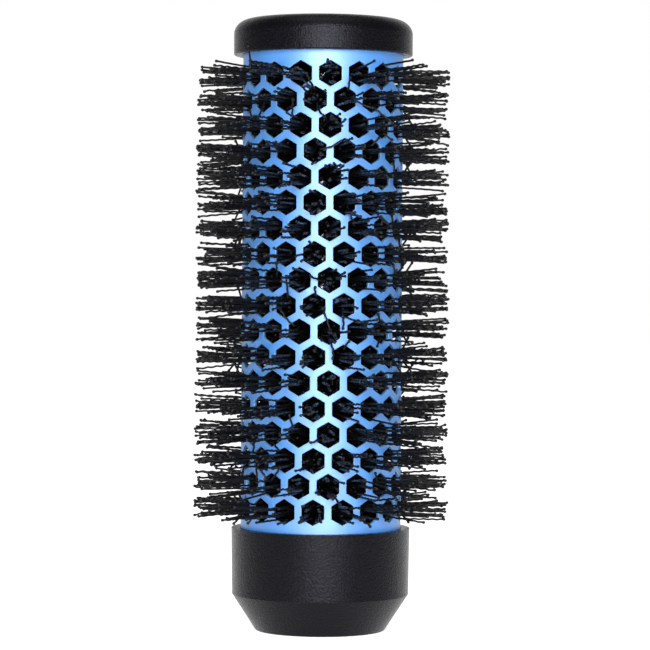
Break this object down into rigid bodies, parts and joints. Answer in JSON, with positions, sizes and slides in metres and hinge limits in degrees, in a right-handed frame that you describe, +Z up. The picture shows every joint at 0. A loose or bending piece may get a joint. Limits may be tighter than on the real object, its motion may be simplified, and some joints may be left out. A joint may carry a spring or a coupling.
{
  "type": "hair roller",
  "caption": "Round thermal hair roller: perforated metal barrel with bristles standing out through its six-sided holes, a rounded cap and a tapered base collar with a handle socket.",
  "frame": {"origin": "centre of the foot, on the surface that the roller stands on", "axes": "+Z up along the barrel from the foot to the cap; -Y faces the front"},
  "size_m": [0.0566, 0.0568, 0.137],
  "materials": {
    "anodised_barrel": "blue anodised, satin metallic",
    "black_moulding": "fine-grained moulded plastic",
    "socket_moulding": "plain moulded plastic",
    "core_steel": "drawn wire",
    "ferrule_brass": "crimped sleeve",
    "bristle_nylon": "crimped nylon filaments with ball tips"
  },
  "bodies": {
    "root": {"barrel": "anodised_barrel", "top_cap": "black_moulding", "base_collar": "black_moulding", "handle_socket": "socket_moulding", "core_wire_a": "core_steel", "core_wire_b": "core_steel", "core_ferrule_base": "ferrule_brass", "core_ferrule_top": "ferrule_brass", "bristle_row_01": "bristle_nylon", "bristle_row_02": "bristle_nylon", "bristle_row_03": "bristle_nylon", "bristle_row_04": "bristle_nylon", "bristle_row_05": "bristle_nylon", "bristle_row_06": "bristle_nylon", "bristle_row_07": "bristle_nylon", "bristle_row_08": "bristle_nylon", "bristle_row_09": "bristle_nylon", "bristle_row_10": "bristle_nylon", "bristle_row_11": "bristle_nylon", "bristle_row_12": "bristle_nylon", "bristle_row_13": "bristle_nylon", "bristle_row_14": "bristle_nylon", "bristle_row_15": "bristle_nylon", "bristle_row_16": "bristle_nylon", "bristle_row_17": "bristle_nylon", "bristle_row_18": "bristle_nylon"}
  },
  "joints": []
}
